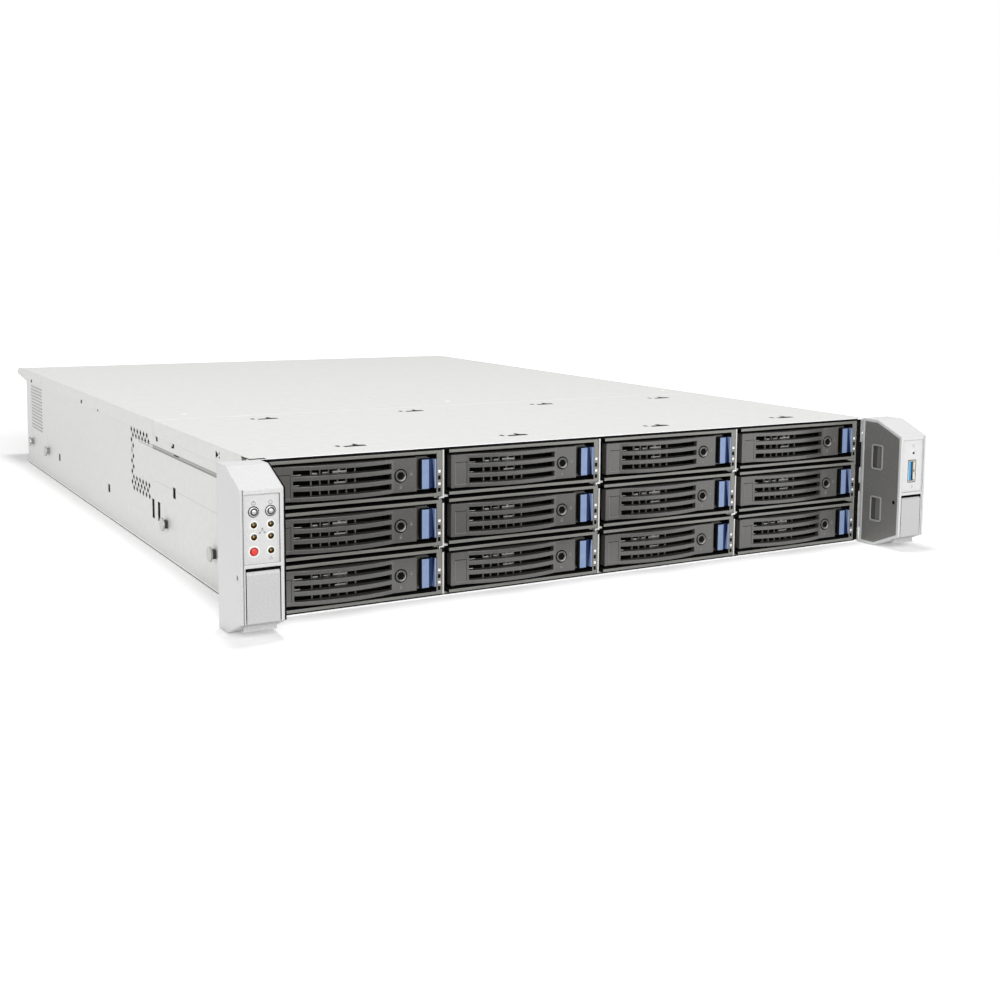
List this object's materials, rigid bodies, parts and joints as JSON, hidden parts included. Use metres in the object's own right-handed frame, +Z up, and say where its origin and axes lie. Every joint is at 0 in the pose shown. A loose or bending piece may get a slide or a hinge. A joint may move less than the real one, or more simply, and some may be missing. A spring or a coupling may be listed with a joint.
{
  "type": "rack_server",
  "caption": "Two-unit rack server with hot-swap front drive carriers that slide out on hinged louvre levers with blue latches, silver bevelled rack ears and a sliding rear cover",
  "frame": {"origin": "middle of the footprint, on the surface that the chassis floor rests on", "axes": "+X to the right seen from the front, +Y to the rear, +Z up; the drive carriers face -Y"},
  "size_m": [0.4826, 0.728, 0.0884],
  "materials": {
    "zinc_sheet": "zinc-plated sheet, satin",
    "silver_casting": "silver paint, fine satin",
    "dark_plate": "moulded, matte",
    "flap_plastic": "silver-grey moulding, fine speckle",
    "carrier_plastic": "glass-filled plastic, matte",
    "lever_plastic": "glass-filled plastic, satin",
    "latch_blue": "moulded in blue, satin",
    "silver_cap": "satin",
    "red_cap": "gloss",
    "lamp_window": "clear amber, unlit",
    "socket_steel": "nickel-plated",
    "stud_steel": "zinc-plated",
    "circuit_board": "solder resist",
    "fan_plastic": "moulded, matte",
    "supply_case": "bare sheet, satin"
  },
  "bodies": {
    "chassis": {"chassis_tray": "zinc_sheet", "front_cover": "zinc_sheet", "drive_cage": "zinc_sheet", "rear_panel": "zinc_sheet", "ear_left": "silver_casting", "ear_right": "silver_casting", "ear_side_plates": "dark_plate", "status_lamps": "lamp_window", "usb_port": "socket_steel", "rail_studs": "stud_steel", "backplane": "circuit_board", "motherboard": "circuit_board", "fan_wall": "fan_plastic"},
    "carrier_1_1": {"carrier_1_1": "carrier_plastic"},
    "lever_1_1": {"lever_1_1": "lever_plastic"},
    "latch_1_1": {"latch_1_1": "latch_blue"},
    "carrier_1_2": {"carrier_1_2": "carrier_plastic"},
    "lever_1_2": {"lever_1_2": "lever_plastic"},
    "latch_1_2": {"latch_1_2": "latch_blue"},
    "carrier_1_3": {"carrier_1_3": "carrier_plastic"},
    "lever_1_3": {"lever_1_3": "lever_plastic"},
    "latch_1_3": {"latch_1_3": "latch_blue"},
    "carrier_2_1": {"carrier_2_1": "carrier_plastic"},
    "lever_2_1": {"lever_2_1": "lever_plastic"},
    "latch_2_1": {"latch_2_1": "latch_blue"},
    "carrier_2_2": {"carrier_2_2": "carrier_plastic"},
    "lever_2_2": {"lever_2_2": "lever_plastic"},
    "latch_2_2": {"latch_2_2": "latch_blue"},
    "carrier_2_3": {"carrier_2_3": "carrier_plastic"},
    "lever_2_3": {"lever_2_3": "lever_plastic"},
    "latch_2_3": {"latch_2_3": "latch_blue"},
    "carrier_3_1": {"carrier_3_1": "carrier_plastic"},
    "lever_3_1": {"lever_3_1": "lever_plastic"},
    "latch_3_1": {"latch_3_1": "latch_blue"},
    "carrier_3_2": {"carrier_3_2": "carrier_plastic"},
    "lever_3_2": {"lever_3_2": "lever_plastic"},
    "latch_3_2": {"latch_3_2": "latch_blue"},
    "carrier_3_3": {"carrier_3_3": "carrier_plastic"},
    "lever_3_3": {"lever_3_3": "lever_plastic"},
    "latch_3_3": {"latch_3_3": "latch_blue"},
    "carrier_4_1": {"carrier_4_1": "carrier_plastic"},
    "lever_4_1": {"lever_4_1": "lever_plastic"},
    "latch_4_1": {"latch_4_1": "latch_blue"},
    "carrier_4_2": {"carrier_4_2": "carrier_plastic"},
    "lever_4_2": {"lever_4_2": "lever_plastic"},
    "latch_4_2": {"latch_4_2": "latch_blue"},
    "carrier_4_3": {"carrier_4_3": "carrier_plastic"},
    "lever_4_3": {"lever_4_3": "lever_plastic"},
    "latch_4_3": {"latch_4_3": "latch_blue"},
    "rear_cover": {"rear_cover": "zinc_sheet"},
    "ear_flap_left": {"ear_flap_left": "flap_plastic"},
    "ear_flap_right": {"ear_flap_right": "flap_plastic"},
    "power_button": {"power_button": "silver_cap"},
    "id_button": {"id_button": "silver_cap"},
    "reset_button": {"reset_button": "red_cap"},
    "fan_rotor_1": {"fan_rotor_1": "fan_plastic"},
    "fan_rotor_2": {"fan_rotor_2": "fan_plastic"},
    "fan_rotor_3": {"fan_rotor_3": "fan_plastic"},
    "power_supply_1": {"power_supply_1": "supply_case"},
    "power_supply_2": {"power_supply_2": "supply_case"}
  },
  "joints": [
    {"name": "carrier_1_1_pull", "type": "slide", "parent": "chassis", "child": "carrier_1_1", "axis": [0, -1, 0], "range_m": [0, 0.17]},
    {"name": "lever_1_1_swing", "type": "hinge", "parent": "carrier_1_1", "child": "lever_1_1", "pos_m": [-0.2073, -0.3204, 0.0148], "axis": [0, 0, -1], "range_deg": [0, 65]},
    {"name": "latch_1_1_slide", "type": "slide", "parent": "lever_1_1", "child": "latch_1_1", "axis": [-1, 0, 0], "range_m": [0, 0.0015], "stiffness_N_per_m": 300},
    {"name": "carrier_1_2_pull", "type": "slide", "parent": "chassis", "child": "carrier_1_2", "axis": [0, -1, 0], "range_m": [0, 0.17]},
    {"name": "lever_1_2_swing", "type": "hinge", "parent": "carrier_1_2", "child": "lever_1_2", "pos_m": [-0.2073, -0.3204, 0.0438], "axis": [0, 0, -1], "range_deg": [0, 65]},
    {"name": "latch_1_2_slide", "type": "slide", "parent": "lever_1_2", "child": "latch_1_2", "axis": [-1, 0, 0], "range_m": [0, 0.0015], "stiffness_N_per_m": 300},
    {"name": "carrier_1_3_pull", "type": "slide", "parent": "chassis", "child": "carrier_1_3", "axis": [0, -1, 0], "range_m": [0, 0.17]},
    {"name": "lever_1_3_swing", "type": "hinge", "parent": "carrier_1_3", "child": "lever_1_3", "pos_m": [-0.2073, -0.3204, 0.0728], "axis": [0, 0, -1], "range_deg": [0, 65]},
    {"name": "latch_1_3_slide", "type": "slide", "parent": "lever_1_3", "child": "latch_1_3", "axis": [-1, 0, 0], "range_m": [0, 0.0015], "stiffness_N_per_m": 300},
    {"name": "carrier_2_1_pull", "type": "slide", "parent": "chassis", "child": "carrier_2_1", "axis": [0, -1, 0], "range_m": [0, 0.17]},
    {"name": "lever_2_1_swing", "type": "hinge", "parent": "carrier_2_1", "child": "lever_2_1", "pos_m": [-0.0996, -0.3204, 0.0148], "axis": [0, 0, -1], "range_deg": [0, 65]},
    {"name": "latch_2_1_slide", "type": "slide", "parent": "lever_2_1", "child": "latch_2_1", "axis": [-1, 0, 0], "range_m": [0, 0.0015], "stiffness_N_per_m": 300},
    {"name": "carrier_2_2_pull", "type": "slide", "parent": "chassis", "child": "carrier_2_2", "axis": [0, -1, 0], "range_m": [0, 0.17]},
    {"name": "lever_2_2_swing", "type": "hinge", "parent": "carrier_2_2", "child": "lever_2_2", "pos_m": [-0.0996, -0.3204, 0.0438], "axis": [0, 0, -1], "range_deg": [0, 65]},
    {"name": "latch_2_2_slide", "type": "slide", "parent": "lever_2_2", "child": "latch_2_2", "axis": [-1, 0, 0], "range_m": [0, 0.0015], "stiffness_N_per_m": 300},
    {"name": "carrier_2_3_pull", "type": "slide", "parent": "chassis", "child": "carrier_2_3", "axis": [0, -1, 0], "range_m": [0, 0.17]},
    {"name": "lever_2_3_swing", "type": "hinge", "parent": "carrier_2_3", "child": "lever_2_3", "pos_m": [-0.0996, -0.3204, 0.0728], "axis": [0, 0, -1], "range_deg": [0, 65]},
    {"name": "latch_2_3_slide", "type": "slide", "parent": "lever_2_3", "child": "latch_2_3", "axis": [-1, 0, 0], "range_m": [0, 0.0015], "stiffness_N_per_m": 300},
    {"name": "carrier_3_1_pull", "type": "slide", "parent": "chassis", "child": "carrier_3_1", "axis": [0, -1, 0], "range_m": [0, 0.17]},
    {"name": "lever_3_1_swing", "type": "hinge", "parent": "carrier_3_1", "child": "lever_3_1", "pos_m": [0.0081, -0.3204, 0.0148], "axis": [0, 0, -1], "range_deg": [0, 65]},
    {"name": "latch_3_1_slide", "type": "slide", "parent": "lever_3_1", "child": "latch_3_1", "axis": [-1, 0, 0], "range_m": [0, 0.0015], "stiffness_N_per_m": 300},
    {"name": "carrier_3_2_pull", "type": "slide", "parent": "chassis", "child": "carrier_3_2", "axis": [0, -1, 0], "range_m": [0, 0.17]},
    {"name": "lever_3_2_swing", "type": "hinge", "parent": "carrier_3_2", "child": "lever_3_2", "pos_m": [0.0081, -0.3204, 0.0438], "axis": [0, 0, -1], "range_deg": [0, 65]},
    {"name": "latch_3_2_slide", "type": "slide", "parent": "lever_3_2", "child": "latch_3_2", "axis": [-1, 0, 0], "range_m": [0, 0.0015], "stiffness_N_per_m": 300},
    {"name": "carrier_3_3_pull", "type": "slide", "parent": "chassis", "child": "carrier_3_3", "axis": [0, -1, 0], "range_m": [0, 0.17]},
    {"name": "lever_3_3_swing", "type": "hinge", "parent": "carrier_3_3", "child": "lever_3_3", "pos_m": [0.0081, -0.3204, 0.0728], "axis": [0, 0, -1], "range_deg": [0, 65]},
    {"name": "latch_3_3_slide", "type": "slide", "parent": "lever_3_3", "child": "latch_3_3", "axis": [-1, 0, 0], "range_m": [0, 0.0015], "stiffness_N_per_m": 300},
    {"name": "carrier_4_1_pull", "type": "slide", "parent": "chassis", "child": "carrier_4_1", "axis": [0, -1, 0], "range_m": [0, 0.17]},
    {"name": "lever_4_1_swing", "type": "hinge", "parent": "carrier_4_1", "child": "lever_4_1", "pos_m": [0.1158, -0.3204, 0.0148], "axis": [0, 0, -1], "range_deg": [0, 65]},
    {"name": "latch_4_1_slide", "type": "slide", "parent": "lever_4_1", "child": "latch_4_1", "axis": [-1, 0, 0], "range_m": [0, 0.0015], "stiffness_N_per_m": 300},
    {"name": "carrier_4_2_pull", "type": "slide", "parent": "chassis", "child": "carrier_4_2", "axis": [0, -1, 0], "range_m": [0, 0.17]},
    {"name": "lever_4_2_swing", "type": "hinge", "parent": "carrier_4_2", "child": "lever_4_2", "pos_m": [0.1158, -0.3204, 0.0438], "axis": [0, 0, -1], "range_deg": [0, 65]},
    {"name": "latch_4_2_slide", "type": "slide", "parent": "lever_4_2", "child": "latch_4_2", "axis": [-1, 0, 0], "range_m": [0, 0.0015], "stiffness_N_per_m": 300},
    {"name": "carrier_4_3_pull", "type": "slide", "parent": "chassis", "child": "carrier_4_3", "axis": [0, -1, 0], "range_m": [0, 0.17]},
    {"name": "lever_4_3_swing", "type": "hinge", "parent": "carrier_4_3", "child": "lever_4_3", "pos_m": [0.1158, -0.3204, 0.0728], "axis": [0, 0, -1], "range_deg": [0, 65]},
    {"name": "latch_4_3_slide", "type": "slide", "parent": "lever_4_3", "child": "latch_4_3", "axis": [-1, 0, 0], "range_m": [0, 0.0015], "stiffness_N_per_m": 300},
    {"name": "rear_cover_slide", "type": "slide", "parent": "chassis", "child": "rear_cover", "axis": [0, 1, 0], "range_m": [0, 0.02]},
    {"name": "ear_flap_left_swing", "type": "hinge", "parent": "chassis", "child": "ear_flap_left", "pos_m": [-0.2295, -0.3584, 0.0332], "axis": [-1, 0, 0], "range_deg": [0, 75]},
    {"name": "ear_flap_right_swing", "type": "hinge", "parent": "chassis", "child": "ear_flap_right", "pos_m": [0.2295, -0.3584, 0.0332], "axis": [-1, 0, 0], "range_deg": [0, 75]},
    {"name": "power_button_press", "type": "slide", "parent": "chassis", "child": "power_button", "axis": [0, 1, 0], "range_m": [0, 0.0008], "stiffness_N_per_m": 500},
    {"name": "id_button_press", "type": "slide", "parent": "chassis", "child": "id_button", "axis": [0, 1, 0], "range_m": [0, 0.0008], "stiffness_N_per_m": 500},
    {"name": "reset_button_press", "type": "slide", "parent": "chassis", "child": "reset_button", "axis": [0, 1, 0], "range_m": [0, 0.0008], "stiffness_N_per_m": 500},
    {"name": "fan_rotor_1_spin", "type": "hinge", "parent": "chassis", "child": "fan_rotor_1", "pos_m": [-0.12, -0.099, 0.0441], "axis": [0, 1, 0], "continuous": true},
    {"name": "fan_rotor_2_spin", "type": "hinge", "parent": "chassis", "child": "fan_rotor_2", "pos_m": [0, -0.099, 0.0441], "axis": [0, 1, 0], "continuous": true},
    {"name": "fan_rotor_3_spin", "type": "hinge", "parent": "chassis", "child": "fan_rotor_3", "pos_m": [0.12, -0.099, 0.0441], "axis": [0, 1, 0], "continuous": true},
    {"name": "power_supply_1_pull", "type": "slide", "parent": "chassis", "child": "power_supply_1", "axis": [0, 1, 0], "range_m": [0, 0.19]},
    {"name": "power_supply_2_pull", "type": "slide", "parent": "chassis", "child": "power_supply_2", "axis": [0, 1, 0], "range_m": [0, 0.19]}
  ]
}
